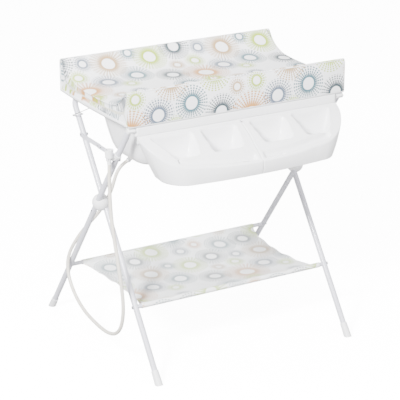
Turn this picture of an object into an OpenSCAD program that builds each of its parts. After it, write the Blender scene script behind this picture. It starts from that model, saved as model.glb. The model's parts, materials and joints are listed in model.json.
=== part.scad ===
// Folding baby changing table with a bath: two crossed tube frames that scissor about a
// pivot on each side, a padded mat that tips up about the rear top bar, a bath tub with
// two front trays, a fabric shelf and a drain hose. Millimetres, +X along the table's
// length, +Y towards the back, +Z up. The origin is on the floor under the middle.

/* [Frame] */
// Height of the scissor pivots above the floor
pivot_z = 500; // [460:1:540]
// Distance from the pivot plane forward to the front feet
front_foot_y = 356; // [320:1:390]
// Distance from the pivot plane back to the rear feet
rear_foot_y = 372; // [330:1:400]
// Outside diameter of the leg tubes
tube_d = 19; // [16:0.5:21]
// Wall of the leg tubes
tube_wall = 1.5; // [1:0.1:2.5]
// Height of the middle of the rear top bar
top_bar_z = 801; // [790:1:815]
// Bend radius of the inner frame's top corners
bend_r = 40; // [30:1:60]
// Distance from the middle to each inner leg's axis
inner_leg_x = 360; // [300:1:420]
// Gap between the inner and outer leg tubes
leg_gap = 5; // [4.8:0.1:8]
// Outside diameter of the shelf bars
shelf_bar_d = 14; // [10:0.5:16]
// Height of the shelf bars
shelf_z = 209; // [160:1:260]
// Radius of the round pivot covers
pivot_cover_r = 28; // [27:0.5:30]

/* [Brace] */
// Distance of the brace bolts from the pivot, along each leg
brace_r = 232; // [200:1:250]
// Height of the brace link plates
link_h = 16; // [12:0.5:18]
// Thickness of the brace link plates
link_t = 2; // [1.2:0.1:2]

/* [Mat] */
// Length of the mat
mat_l = 800; // [700:1:900]
// Depth of the mat, front to back
mat_w = 470; // [440:1:500]
// Thickness of the mat's board
board_t = 6; // [4:0.5:8]
// Height of the mat's side ridges above its board
ridge_h = 107; // [80:1:120]
// Height of the mat's lying surface above its board
bed_h = 37; // [25:1:50]

/* [Tub] */
// Length of the tub's rim
rim_l = 740; // [720:1:740]
// Depth of the basin below the rim
basin_h = 163; // [130:1:170]
// Wall of the tub
tub_wall = 3; // [2.5:0.1:4]
// Height of the band along the tub's front
band_h = 30; // [24:1:36]
// Wall of the trays
tray_wall = 3; // [2.5:0.1:4]
// Depth of the trays, front to back
tray_w = 148.5; // [130:0.5:150]
// Length of each tray
tray_l = 366; // [360:1:368]
// Outside diameter of the drain hose
hose_d = 12; // [10:0.5:14]

/* [Hidden] */

$fn = 64;
smooth = 48;      // sides of the rounded blends in the tub
gap = 0.3;        // between soft or curved faces on different bodies
run = 0.05;       // radial clearance of a turning fit
tube_r = tube_d / 2;
bore_r = tube_r - tube_wall;
inner_tilt = atan2(front_foot_y, pivot_z);   // lean of the inner legs from upright
outer_tilt = atan2(rear_foot_y, pivot_z);    // lean of the outer legs from upright
outer_leg_x = inner_leg_x + tube_d + leg_gap;
mid_gap_x = (inner_leg_x + outer_leg_x) / 2;
tube_end_z = 12;                             // where a tube stops above the floor
inner_top = (top_bar_z - pivot_z) / cos(inner_tilt);   // pivot to the top bar, along a leg
bar_y = inner_top * sin(inner_tilt);
cap_t = 2.5;
plug_l = 14;
end_inside_z = 14;   // from the top bar's top down to an outer leg's end
outer_top = (top_bar_z + tube_r - end_inside_z + 3.5 - pivot_z) / cos(outer_tilt);
foot_l = 32;
foot_r = tube_r + 2;
foot_taper = 1.2;
bolt_r = 4;
bolt_head_r = 7;
bolt_head_t = 3;
pin_r = 3;
pin_head_r = 5.5;
pin_head_t = 3;
nub_r = 4.5;
nub_t = 3.5;
spacer_r = 11;
pocket = 0.3;        // clearance round a bolt head inside a cover
rear_link_x = inner_leg_x + tube_r + gap;                 // inner face of the rear link
front_link_x = outer_leg_x - tube_r - gap - link_t;       // inner face of the front link
brace_a = [brace_r * sin(inner_tilt), pivot_z + brace_r * cos(inner_tilt)];
brace_b = [-brace_r * sin(outer_tilt), pivot_z + brace_r * cos(outer_tilt)];
knuckle = (brace_a + brace_b) / 2;
rivet_step = 9.5;    // from the middle of the brace to each of its rivets
rivet_r = 3.2;
shelf_r = shelf_bar_d / 2;
front_bar = [-(front_foot_y - shelf_z * tan(inner_tilt)), shelf_z];
rear_bar = [rear_foot_y - shelf_z * tan(outer_tilt), shelf_z];
cloth_half = 338;
cloth_t = 2.2;
cloth_sag = 24;

rim_under = top_bar_z + tube_r + gap;        // the rim lies on the top bar
rim_top = rim_under + tub_wall;
rim_front = -237;
rim_rear = bar_y - 6;
rim_half = rim_l / 2;
basin_half = 362;
basin_front = -226;
basin_rear = 150;
basin_corner_rear = 180;
basin_corner_front = 60;
lip_h = 10;
lip_rear = 180;
drain = [-245, 0];
drain_hole_r = 17;
basin_floor = rim_top - basin_h;

saddle_x = 300;
saddle_w = 24;
saddle_r = tube_r + 4;
hinge_pin_r = 2.5;
knuckle_r = 5;
board_z = rim_top + 3.2;                     // underside of the mat's board
hinge = [bar_y + 12, board_z - 2];
leaf_t = 1.5;
leaf_w = 40;
finger_w = 6;
mat_front = -243;
mat_rear = mat_front + mat_w;
board_inset = 15;
pad_z = board_z + board_t + gap;
ridge_top = board_z + board_t + ridge_h;
bed_z = board_z + board_t + bed_h;

tray_rear = rim_front - gap;
tray_front = tray_rear - tray_w;
tray_top_z = rim_top - band_h;               // rear edge of a tray's top
tray_drop = 91;                              // fall of the tray's top, back to front
skirt_h = 48;
tray_bow = 17;
tray_draft = 52;      // how far the tray's side leans in from top to bottom
skirt_z = tray_top_z - tray_drop - skirt_h;
pocket_floor = rim_top - 118;
trough_in = 9;
trough_h = 14;
towel_slot = 7;

hose_r = hose_d / 2;
fitting_at = [-412, -145];
fitting_z = 677;
cup_z = 699;
cup_h = 26;
cup_r = 14;
neck_r = 7;
clip_h = 10;
// The drain hose's route, from the drain's spigot to the end fitting
HOSE = [[-272, 4, 621], [-284, 5, 614], [-295, 7, 604], [-304, 9, 591], [-311, 11, 575],
    [-317, 13, 555], [-323, 19, 528], [-328, 33, 500], [-334, 54, 466], [-342, 82, 430],
    [-354, 114, 392], [-370, 144, 352], [-386, 166, 312], [-399, 182, 272],
    [-407, 186, 234], [-411, 174, 196], [-412, 148, 160], [-412, 106, 128],
    [-412, 52, 106], [-412, -8, 96], [-412, -66, 92], [-412, -118, 96],
    [-412, -164, 112], [-412, -198, 142], [-412, -217, 184], [-412, -222, 232],
    [-412, -214, 284], [-412, -200, 336], [-412, -184, 390], [-412, -166, 446],
    [-412, -152, 506], [-412, -145, 570], [-412, -144, 630], [-412, -145, 677]];

WHITE = "white";
TUBE = "ghostwhite";
STEEL = "silver";
DARK = "dimgray";

// Frames of the two leg pairs: +Z runs up the leg from the pivot
module along_inner(x) {
    translate([x, 0, pivot_z]) rotate([-inner_tilt, 0, 0]) children();
}

module along_outer(x) {
    translate([x, 0, pivot_z]) rotate([outer_tilt, 0, 0]) children();
}

// A cylinder along X between two x values, at a place [y, z]
module rod_x(from_x, to_x, at, r) {
    translate([from_x, at[0], at[1]]) rotate([0, 90, 0]) cylinder(h = to_x - from_x, r = r);
}

module mirrored_x() {
    children();
    mirror([1, 0, 0]) children();
}

module tube(length, r) {
    difference() {
        cylinder(h = length, r = r);
        translate([0, 0, -1]) cylinder(h = length + 2, r = r - tube_wall);
    }
}

// An inner leg on the right: a straight tube and the bend that meets the top bar
module inner_leg() {
    low = (pivot_z - tube_end_z) / cos(inner_tilt);
    difference() {
        along_inner(inner_leg_x) {
            translate([0, 0, -low]) tube(low + inner_top - bend_r, tube_r);
            translate([-bend_r, 0, inner_top - bend_r]) rotate([90, 0, 0])
                rotate_extrude(angle = 90) translate([bend_r, 0]) difference() {
                    circle(r = tube_r);
                    circle(r = bore_r);
                }
        }
        rod_x(inner_leg_x - tube_d, inner_leg_x + tube_d, [0, pivot_z], bolt_r);
        rod_x(inner_leg_x - tube_d, inner_leg_x + tube_d, brace_a, pin_r);
        rod_x(inner_leg_x - tube_d, inner_leg_x + tube_d, front_bar, pin_r);
    }
}

module inner_leg_left() color(TUBE) mirror([1, 0, 0]) inner_leg();

module inner_leg_right() color(TUBE) inner_leg();

module outer_leg() {
    low = (pivot_z - tube_end_z) / cos(outer_tilt);
    difference() {
        along_outer(outer_leg_x) translate([0, 0, -low]) tube(low + outer_top, tube_r);
        rod_x(outer_leg_x - tube_d, outer_leg_x + tube_d, [0, pivot_z], bolt_r + run);
        rod_x(outer_leg_x - tube_d, outer_leg_x + tube_d, brace_b, pin_r);
        rod_x(outer_leg_x - tube_d, outer_leg_x + tube_d, rear_bar, pin_r);
    }
}

module outer_leg_left() color(TUBE) mirror([1, 0, 0]) outer_leg();

module outer_leg_right() color(TUBE) outer_leg();

module rear_top_bar() color(TUBE) {
    half = inner_leg_x - bend_r;
    translate([-half, bar_y, top_bar_z]) rotate([0, 90, 0]) tube(2 * half, tube_r);
}

// A shelf bar, cut at its ends to sit against the legs
module shelf_bar(at, leg_x) {
    difference() {
        rod_x(-leg_x, leg_x, at, shelf_r);
        rod_x(-leg_x - 1, leg_x + 1, at, shelf_r - tube_wall);
        mirrored_x() children();
    }
}

module front_shelf_bar() color(TUBE)
    shelf_bar(front_bar, inner_leg_x) along_inner(inner_leg_x)
        cylinder(h = 2 * pivot_z, r = tube_r, center = true);

module rear_shelf_bar() color(TUBE)
    shelf_bar(rear_bar, outer_leg_x) along_outer(outer_leg_x)
        cylinder(h = 2 * pivot_z, r = tube_r, center = true);

// A plastic foot on a tube's end, cut flat where it stands on the floor
module foot(tilt) {
    end = (pivot_z - tube_end_z) / cos(tilt);
    difference() {
        translate([0, 0, -end - 20]) cylinder(h = 20 + foot_l, r1 = foot_r + foot_taper, r2 = foot_r);
        translate([0, 0, -end]) cylinder(h = foot_l + 1, r = tube_r);
    }
}

module above_floor() {
    intersection() {
        children();
        translate([-inner_leg_x * 2, -front_foot_y * 2, 0])
            cube([inner_leg_x * 4, front_foot_y * 4, pivot_z]);
    }
}

module inner_foot_left() color(WHITE) above_floor() along_inner(-inner_leg_x) foot(inner_tilt);

module inner_foot_right() color(WHITE) above_floor() along_inner(inner_leg_x) foot(inner_tilt);

module outer_foot_left() color(WHITE) above_floor() along_outer(-outer_leg_x) foot(outer_tilt);

module outer_foot_right() color(WHITE) above_floor() along_outer(outer_leg_x) foot(outer_tilt);

module outer_cap() {
    along_outer(outer_leg_x) {
        translate([0, 0, outer_top]) cylinder(h = cap_t, r = tube_r);
        translate([0, 0, outer_top - plug_l]) cylinder(h = plug_l, r = bore_r);
    }
}

module outer_cap_left() color(WHITE) mirror([1, 0, 0]) outer_cap();

module outer_cap_right() color(WHITE) outer_cap();

// A screw through a leg into a shelf bar's end
module shelf_bolt(at, leg_x) {
    rod_x(leg_x - tube_d, leg_x + tube_r, at, pin_r);
    rod_x(leg_x + tube_r, leg_x + tube_r + pin_head_t, at, pin_head_r);
}

module front_shelf_bolts() color(STEEL) mirrored_x() shelf_bolt(front_bar, inner_leg_x);

module rear_shelf_bolts() color(STEEL) mirrored_x() shelf_bolt(rear_bar, outer_leg_x);

module pivot_bolts() color(STEEL) mirrored_x() {
    at = [0, pivot_z];
    inside = inner_leg_x - tube_r;
    outside = outer_leg_x + tube_r + gap;
    rod_x(inside, outside, at, bolt_r);
    rod_x(outside, outside + bolt_head_t, at, bolt_head_r);
    rod_x(inside - bolt_head_t, inside, at, bolt_head_r);
}

module pivot_spacers() color(WHITE) mirrored_x() difference() {
    rod_x(inner_leg_x + tube_r, outer_leg_x - tube_r - gap, [0, pivot_z], spacer_r);
    rod_x(inner_leg_x, outer_leg_x, [0, pivot_z], bolt_r);
}

// Half of the ball that hides a pivot, from one x value to another
module pivot_cover(from_x, to_x) {
    head = bolt_head_t + gap + pocket;
    difference() {
        intersection() {
            translate([mid_gap_x, 0, pivot_z]) sphere(r = pivot_cover_r);
            translate([from_x, -pivot_cover_r, pivot_z - pivot_cover_r])
                cube([to_x - from_x, 2 * pivot_cover_r, 2 * pivot_cover_r]);
        }
        children();
        rod_x(inner_leg_x - tube_r - head, outer_leg_x + tube_r + head, [0, pivot_z],
            bolt_head_r + pocket);
        rod_x(inner_leg_x, outer_leg_x, [0, pivot_z], spacer_r + gap);
    }
}

module cover_inner() {
    pivot_cover(mid_gap_x - pivot_cover_r, mid_gap_x - gap / 2) along_inner(inner_leg_x)
        cylinder(h = 4 * pivot_cover_r, r = tube_r, center = true);
}

module cover_outer() {
    pivot_cover(mid_gap_x + gap / 2, mid_gap_x + pivot_cover_r) along_outer(outer_leg_x)
        cylinder(h = 4 * pivot_cover_r, r = tube_r, center = true);
}

module pivot_cover_inner_left() color(WHITE) mirror([1, 0, 0]) cover_inner();

module pivot_cover_inner_right() color(WHITE) cover_inner();

module pivot_cover_outer_left() color(WHITE) mirror([1, 0, 0]) cover_outer();

module pivot_cover_outer_right() color(WHITE) cover_outer();

module brace_rear_bolts() color(DARK) mirrored_x() {
    rod_x(inner_leg_x - tube_r - nub_t, inner_leg_x - tube_r, brace_a, nub_r);
    rod_x(inner_leg_x - tube_r, rear_link_x + link_t, brace_a, pin_r);
}

module brace_front_bolts() color(DARK) mirrored_x() {
    rod_x(outer_leg_x + tube_r, outer_leg_x + tube_r + pin_head_t, brace_b, pin_head_r);
    rod_x(front_link_x, outer_leg_x + tube_r, brace_b, pin_r);
}

module outer_leg_rivets() color(DARK) mirrored_x()
    along_outer(outer_leg_x) translate([tube_r, 0, -pivot_cover_r - 14])
        rotate([0, 90, 0]) cylinder(h = 1.6, r = 2.6);

// A flat brace link with round ends, between two points [y, z], with holes in it
module link(x, a, b, past, holes) {
    length = norm(b - a);
    turn = atan2(b[1] - a[1], b[0] - a[0]);
    translate([x, a[0], a[1]]) rotate([turn, 0, 0]) difference() {
        union() {
            rod_x(0, link_t, [0, 0], link_h / 2);
            translate([0, 0, -link_h / 2]) cube([link_t, length + past, link_h]);
            rod_x(0, link_t, [length + past, 0], link_h / 2);
        }
        rod_x(-1, link_t + 1, [0, 0], pin_r + run);
        for (h = holes) rod_x(-1, link_t + 1, [length + h, 0], rivet_r);
    }
}

module link_rear() link(rear_link_x, brace_a, knuckle, 0, []);

module link_front() link(front_link_x, brace_b, knuckle, rivet_step,
    [-rivet_step, rivet_step]);

module brace_rear_left() color(TUBE) mirror([1, 0, 0]) link_rear();

module brace_rear_right() color(TUBE) link_rear();

module brace_front_left() color(TUBE) mirror([1, 0, 0]) link_front();

module brace_front_right() color(TUBE) link_front();

module link_rivets() {
    step = rivet_step * (brace_a - brace_b) / norm(brace_a - brace_b);
    for (side = [-1, 1]) rod_x(front_link_x, front_link_x + link_t, knuckle + side * step, rivet_r);
}

module brace_rivets_left() color(DARK) mirror([1, 0, 0]) link_rivets();

module brace_rivets_right() color(DARK) link_rivets();

// The clip on the left inner leg that the mat's wire stay hooks into
module mat_tie_clip() color(WHITE) along_inner(-inner_leg_x) translate([0, 0, 298])
    difference() {
        union() {
            cylinder(h = 5, r = tube_r + 2.4);
            translate([-tube_r - 8, -2.5, 0]) cube([2 * tube_r + 16, 5, 5]);
        }
        translate([0, 0, -1]) cylinder(h = 7, r = tube_r);
    }

// A clip on the left outer leg, open to the front, that holds the hose's end fitting
module hose_clip() color(WHITE) difference() {
    union() {
        along_outer(-outer_leg_x) translate([0, 0, brace_r + 16]) cylinder(h = clip_h, r = tube_r + 3);
        translate([fitting_at[0] + 2, fitting_at[1] - 5, cup_z - gap - clip_h])
            cube([-outer_leg_x - tube_r + 2 - fitting_at[0] - 2, 10, clip_h]);
        translate([fitting_at[0], fitting_at[1], cup_z - gap - clip_h]) cylinder(h = clip_h, r = neck_r + 3);
    }
    along_outer(-outer_leg_x) cylinder(h = outer_top, r = tube_r);
    translate([-outer_leg_x + 6, fitting_at[1] - 40, cup_z - 40]) cube([40, 80, 80]);
    translate([fitting_at[0], fitting_at[1], 0]) cylinder(h = cup_z + 1, r = neck_r + gap);
    translate([fitting_at[0] - neck_r - gap, fitting_at[1] - 30, cup_z - 30])
        cube([2 * (neck_r + gap), 30, 40]);
    rod_x(-outer_leg_x - tube_r - pin_head_t - 1, -outer_leg_x, brace_b, pin_head_r + 0.5);
}

// The shelf's cross-section: a sleeve on each bar and the sagging sheet between them
module cloth_profile() {
    span = rear_bar[0] - front_bar[0];
    n = 12;
    sag = [for (i = [0 : n]) let (t = i / n)
        [front_bar[0] + span * t, shelf_z - shelf_r - 4 * cloth_sag * t * (1 - t)]];
    under = [for (i = [n : -1 : 0]) sag[i] - [0, cloth_t]];
    difference() {
        union() {
            polygon(concat(sag, under));
            for (bar = [front_bar, rear_bar]) translate(bar) circle(r = shelf_r + gap + cloth_t);
        }
        for (bar = [front_bar, rear_bar]) translate(bar) circle(r = shelf_r + gap);
    }
}

module shelf_cloth() color("lightsteelblue") translate([-cloth_half, 0, 0])
    rotate([90, 0, 90]) linear_extrude(2 * cloth_half) cloth_profile();

// A plastic saddle that turns on the top bar and carries the mat's hinge pin
module mat_saddle() {
    bar = [bar_y, top_bar_z];
    translate([-saddle_w / 2, 0, 0]) rotate([90, 0, 90]) linear_extrude(saddle_w) difference() {
        union() {
            translate(bar) circle(r = saddle_r);
            translate(hinge) circle(r = knuckle_r);
            polygon([bar + [-5, 5], hinge + [-3, 3], hinge + [3, -3], bar + [7, -7]]);
        }
        translate(bar) circle(r = tube_r + run);
        translate(hinge) circle(r = hinge_pin_r);
    }
}

module mat_saddle_left() color(WHITE) translate([-saddle_x, 0, 0]) mat_saddle();

module mat_saddle_right() color(WHITE) translate([saddle_x, 0, 0]) mat_saddle();

module mat_hinge_pins() color(STEEL) for (x = [-saddle_x, saddle_x])
    rod_x(x - leaf_w / 2 + 1, x + leaf_w / 2 - 1, hinge, hinge_pin_r);

module mat_leaf() {
    plate_rear = bar_y - saddle_r - 3;
    side = leaf_w / 2 - finger_w;
    difference() {
        union() {
            translate([-leaf_w / 2, plate_rear - 50, board_z - leaf_t]) cube([leaf_w, 50, leaf_t]);
            for (x = [-leaf_w / 2, side]) {
                translate([x, plate_rear - 1, board_z - leaf_t])
                    cube([finger_w, hinge[0] - plate_rear + 1, leaf_t]);
                rod_x(x, x + finger_w, hinge, knuckle_r);
            }
        }
        rod_x(-leaf_w, leaf_w, hinge, hinge_pin_r + run);
        for (y = [12, 38]) translate([0, plate_rear - y, 0]) cylinder(h = board_z + 5, r = 2);
    }
}

module mat_leaf_left() color(STEEL) translate([-saddle_x, 0, 0]) mat_leaf();

module mat_leaf_right() color(STEEL) translate([saddle_x, 0, 0]) mat_leaf();

module mat_leaf_screws() color(STEEL) for (x = [-saddle_x, saddle_x], y = [12, 38])
    translate([x, bar_y - saddle_r - 3 - y, board_z - leaf_t]) {
        cylinder(h = leaf_t + 4, r = 2);
        translate([0, 0, -1.2]) cylinder(h = 1.2, r = 3.6);
    }

module mat_board() color("gainsboro") difference() {
    translate([-mat_l / 2 + board_inset, mat_front + board_inset, board_z])
        cube([mat_l - 2 * board_inset, mat_w - 2 * board_inset, board_t]);
    for (x = [-saddle_x, saddle_x], y = [12, 38])
        translate([x, bar_y - saddle_r - 3 - y, board_z - 1]) cylinder(h = 5, r = 2);
}

// The pad's outline across the table: upright outer faces, ridges and a hollowed middle
module pad_profile() {
    mid = (mat_front + mat_rear) / 2;
    half = mat_w / 2;
    flat = 80;
    ridge = 9;
    n = 8;
    slope = [for (i = [0 : n]) let (t = i / n)
        [flat + (half - ridge - flat) * t, bed_z + (ridge_top - bed_z) * pow(t, 2.4)]];
    right = [for (p = slope) [mid + p[0], p[1]]];
    left = [for (i = [n : -1 : 0]) [mid - slope[i][0], slope[i][1]]];
    polygon(concat([[mat_front, pad_z], [mat_rear, pad_z], [mat_rear, ridge_top - 6]],
        [for (i = [n : -1 : 0]) right[i]], [for (i = [n : -1 : 0]) left[i]],
        [[mat_front, ridge_top - 6]]));
}

module mat_pad() color("aliceblue") translate([-mat_l / 2, 0, 0])
    rotate([90, 0, 90]) linear_extrude(mat_l) pad_profile();

// Rubber pads under the board that rest on the tub's rim
module mat_bumpers() color(DARK) for (x = [-335, 335])
    translate([x, rim_front + 20, rim_top + gap]) cylinder(h = board_z - rim_top - gap, r = 7);

// The wire stay that hangs from the board to the clip on the left inner leg
module mat_tie_wire() color(STEEL) {
    top = [-379, 20, board_z - 1];
    foot = [-381, 168, 748];
    way = foot - top;
    translate(top) rotate([0, acos(way[2] / norm(way)), atan2(way[1], way[0])])
        cylinder(h = norm(way), r = 1.5);
    translate(top + [0, 0, -1.5]) cylinder(h = 2.5, r = 5);
    translate(foot) sphere(r = 2.6);
}

// The basin's outside, or its inside when wall is the tub's wall: levels from rim to floor
module basin(wall) {
    floor_z = basin_floor + wall;
    h = basin_h - tub_wall;
    levels = [[rim_top + (wall > 0 ? 1 : -tub_wall), 0], [basin_floor + 0.26 * h, 37],
        [basin_floor + 0.09 * h, 52], [basin_floor, 80]];
    hull() for (i = [0 : 3]) {
        inset = levels[i][1] + wall;
        z = i == 3 ? floor_z : levels[i][0];
        r_rear = max(basin_corner_rear - inset, 25);
        r_front = max(basin_corner_front - inset, 18);
        for (side = [-1, 1]) {
            translate([side * (basin_half - inset - r_rear), basin_rear - inset - r_rear, z])
                cylinder(h = 0.2, r = r_rear, $fn = smooth);
            translate([side * (basin_half - inset - r_front), basin_front + inset + r_front, z])
                cylinder(h = 0.2, r = r_front, $fn = smooth);
        }
    }
}

// A hook over the end of an outer leg, square to it, on the right
module tub_hook() {
    low = outer_top + cap_t + gap;
    half = tube_r + 1.5;
    along_outer(outer_leg_x) {
        translate([-tube_r - 5.5, -half, low]) cube([2 * tube_r + 7, half + 4, 3]);
        translate([-tube_r - 5.5, -half - 3, low - 10]) cube([2 * tube_r + 7, 3 - gap, 13]);
    }
}

module tub() color(WHITE) difference() {
    union() {
        translate([-rim_half, rim_front, rim_under]) cube([rim_l, rim_rear - rim_front, tub_wall]);
        translate([-rim_half, rim_front, rim_top - band_h]) cube([rim_l, tub_wall, band_h]);
        mirrored_x() {
            translate([rim_half - tub_wall, rim_front, rim_top - lip_h])
                cube([tub_wall, lip_rear - rim_front, lip_h]);
            tub_hook();
        }
        basin(0);
    }
    basin(tub_wall);
    mirrored_x() translate([saddle_x - saddle_w / 2 - 1, bar_y - saddle_r - 1, rim_under - 1])
        cube([saddle_w + 2, 3 * saddle_r, tub_wall + 2]);
    translate([drain[0], drain[1], basin_floor - 1]) cylinder(h = 10, r = drain_hole_r);
}

// A tray's plan, x from the middle joint to the side, with one big elliptic corner
function tray_edge(side, front) = let (n = 20, cx = side - 153)
    concat([[gap / 2, tray_rear], [side, tray_rear]],
        [for (i = [0 : n]) let (a = 90 * i / n) [cx + 153 * cos(a), tray_rear - 13
            - (tray_rear - 13 - front - tray_bow) * sin(a)]],
        [for (i = [1 : 6]) let (x = cx * (1 - i / 6), u = x / cx)
            [max(x, gap / 2), front + tray_bow * u * u]]);

// A tray's block, wide at the top and narrower below, t in from its outside
module tray_block(t) {
    hull() {
        translate([0, 0, tray_top_z]) linear_extrude(1) polygon(tray_edge(tray_l - t, tray_front + t));
        translate([0, 0, skirt_z]) linear_extrude(1)
            polygon(tray_edge(tray_l - tray_draft - t, tray_front + 1 + t));
    }
}

// A tray's section front to back: its sloping top, down to t below it and out past the skirt
module tray_section(t) {
    front_z = tray_top_z - tray_drop;
    past = t > 0 ? 5 : 0;
    polygon([[tray_front - 1, skirt_z - past], [tray_front - 1, front_z - t],
        [tray_front + 0.35 * tray_w, tray_top_z - 0.5 * tray_drop - t],
        [tray_rear - 0.25 * tray_w, tray_top_z - 0.13 * tray_drop - t],
        [tray_rear - t, tray_top_z - t], [tray_rear - t, skirt_z - past]]);
}

module tray_solid(t) {
    intersection() {
        if (t > 0) translate([t, 0, 0]) tray_block(t);
        else tray_block(0);
        rotate([90, 0, 90]) linear_extrude(tray_l + 1) tray_section(t);
    }
}

// A storage pocket from x0 to x1 with round corners and sloping walls, grown by grow
module tray_pocket(x0, x1, grow, top_z) {
    y0 = tray_rear - 92;
    y1 = tray_rear - 12;
    hull() for (level = [[tray_top_z, 0], [pocket_floor - grow, 14]]) {
        r = 24 + grow;
        shift = 24 + level[1];
        z = level[0] == tray_top_z ? top_z : level[0];
        for (x = [x0 + shift, x1 - shift]) for (y = [y0 + shift, y1 - 24])
            translate([x, y, z]) cylinder(h = 0.5, r = r, $fn = smooth);
    }
}

// The towel trough's outline in plan, bowed with the tray's front, w wide
module trough(w, from_x, to_x) {
    n = 8;
    line = [for (i = [0 : n]) let (x = from_x + (to_x - from_x) * i / n,
        u = x / (tray_l - 153), past = max(x - 150, 0))
        [x, tray_front + trough_in + tray_bow * u * u + 0.003 * past * past]];
    polygon(concat(line, [for (i = [n : -1 : 0]) line[i] + [0, w]]));
}

module tray() {
    pockets = [[22, 154], [178, 330]];
    front_z = tray_top_z - tray_drop;
    difference() {
        union() {
            difference() {
                tray_solid(0);
                tray_solid(tray_wall);
            }
            intersection() {
                tray_solid(0);
                union() {
                    for (p = pockets) tray_pocket(p[0], p[1], tray_wall, tray_top_z);
                    translate([0, 0, front_z - trough_h]) linear_extrude(2 * trough_h)
                        translate([0, -3]) trough(20, 12, 250);
                }
            }
        }
        for (p = pockets) tray_pocket(p[0], p[1], 0, tray_top_z + 1);
        translate([0, 0, front_z - trough_h + 3]) linear_extrude(3 * trough_h) trough(14, 16, 246);
        for (x = [24, 104, 184]) translate([0, 0, front_z - trough_h - 1]) linear_extrude(9)
            translate([0, 3]) trough(towel_slot, x, x + 54);
    }
}

module tray_right() color(WHITE) tray();

module tray_left() color(WHITE) mirror([1, 0, 0]) tray();

module at_drain(z) {
    translate([drain[0], drain[1], z]) children();
}

// The drain's body: a flanged tail under the floor and a slanting spigot for the hose
module drain_body() color(WHITE) {
    difference() {
        union() {
            at_drain(basin_floor - 22) cylinder(h = 22 - 2, r = 22);
            hose_start(-26) cylinder(h = 26, r = hose_r + 1);
        }
        at_drain(basin_floor - 18) cylinder(h = 30, r = 13);
        hose_start(-20) cylinder(h = 40, r = hose_r - 2);
    }
}

// Moves a shape to the hose's start, along the hose by z
module hose_start(z) {
    v = HOSE[1] - HOSE[0];
    translate(HOSE[0]) rotate([0, acos(v[2] / norm(v)), atan2(v[1], v[0])]) translate([0, 0, z]) children();
}

module drain_gasket() color(DARK) difference() {
    at_drain(basin_floor - 2) cylinder(h = 2, r = 24);
    at_drain(basin_floor - 3) cylinder(h = 4, r = drain_hole_r);
}

module drain_stopper() color(WHITE) {
    at_drain(basin_floor + tub_wall + gap) cylinder(h = 3, r = 21);
    at_drain(basin_floor - 1) cylinder(h = 5, r = 12.5);
    at_drain(basin_floor + tub_wall + gap + 3) cylinder(h = 9, r = 4);
    at_drain(basin_floor + tub_wall + gap + 14) sphere(r = 6.5);
}

module hose_clamp() color(STEEL) difference() {
    hose_start(-9) cylinder(h = 6, r = hose_r + 2.4);
    hose_start(-10) cylinder(h = 9, r = hose_r + 1);
}

// A round tube swept along points, one polyhedron: rings of sides points and two ends
function unit(v) = v / norm(v);
function along(pts, i) = unit(pts[min(i + 1, len(pts) - 1)] - pts[max(i - 1, 0)]);
function side_of(v) = unit(cross(v, [0.3, 1, 0.2]));
function ring(p, v, r, sides) = [for (k = [0 : sides - 1]) let (a = 360 * k / sides)
    p + r * (cos(a) * side_of(v) + sin(a) * cross(v, side_of(v)))];
function smooth_at(pts, s) = let (i = min(floor(s), len(pts) - 2), t = s - i,
    a = pts[max(i - 1, 0)], b = pts[i], c = pts[i + 1], d = pts[min(i + 2, len(pts) - 1)])
    0.5 * (2 * b + (c - a) * t + (2 * a - 5 * b + 4 * c - d) * t * t
        + (3 * b - a - 3 * c + d) * t * t * t);

module swept_tube(pts, r, sides) {
    n = len(pts);
    points = [for (i = [0 : n - 1]) each ring(pts[i], along(pts, i), r, sides)];
    walls = [for (i = [0 : n - 2], k = [0 : sides - 1]) let (j = (k + 1) % sides)
        [i * sides + k, i * sides + j, (i + 1) * sides + j, (i + 1) * sides + k]];
    ends = [[for (k = [sides - 1 : -1 : 0]) k], [for (k = [0 : sides - 1]) (n - 1) * sides + k]];
    polyhedron(points, concat(walls, ends));
}

module drain_hose() color("linen") {
    steps = 2 * (len(HOSE) - 1);
    swept_tube([for (i = [0 : steps]) smooth_at(HOSE, i / 2)], hose_r, 10);
}

// The fitting on the hose's free end: a neck and an open cup
module hose_fitting() color(WHITE) translate([fitting_at[0], fitting_at[1], 0]) difference() {
    union() {
        translate([0, 0, fitting_z]) cylinder(h = cup_z - fitting_z + 2, r = neck_r);
        translate([0, 0, cup_z]) cylinder(h = cup_h, r1 = cup_r - 1.5, r2 = cup_r);
    }
    translate([0, 0, cup_z + 5]) cylinder(h = cup_h, r = cup_r - 3.5);
}

inner_leg_left();
inner_leg_right();
rear_top_bar();
front_shelf_bar();
inner_foot_left();
inner_foot_right();
front_shelf_bolts();
pivot_bolts();
pivot_spacers();
pivot_cover_inner_left();
pivot_cover_inner_right();
brace_rear_bolts();
mat_tie_clip();
outer_leg_left();
outer_leg_right();
rear_shelf_bar();
outer_foot_left();
outer_foot_right();
outer_cap_left();
outer_cap_right();
rear_shelf_bolts();
pivot_cover_outer_left();
pivot_cover_outer_right();
brace_front_bolts();
outer_leg_rivets();
hose_clip();
shelf_cloth();
brace_rear_left();
brace_rear_right();
brace_front_left();
brace_front_right();
brace_rivets_left();
brace_rivets_right();
mat_saddle_left();
mat_saddle_right();
mat_hinge_pins();
mat_board();
mat_pad();
mat_leaf_left();
mat_leaf_right();
mat_leaf_screws();
mat_bumpers();
mat_tie_wire();
tub();
tray_left();
tray_right();
drain_body();
drain_gasket();
drain_stopper();
hose_clamp();
drain_hose();
hose_fitting();
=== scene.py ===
# %% [markdown]
# # A folding changing table with a bath
# The CAD part gives every size, pivot and fit. This script adds what CAD draws badly:
# the padded mat, the printed cloth, the moulded tub and trays, the hose, and the finishes.
# Everything is in metres and in the CAD part's own frame, so the parts stay on their joints.

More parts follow.
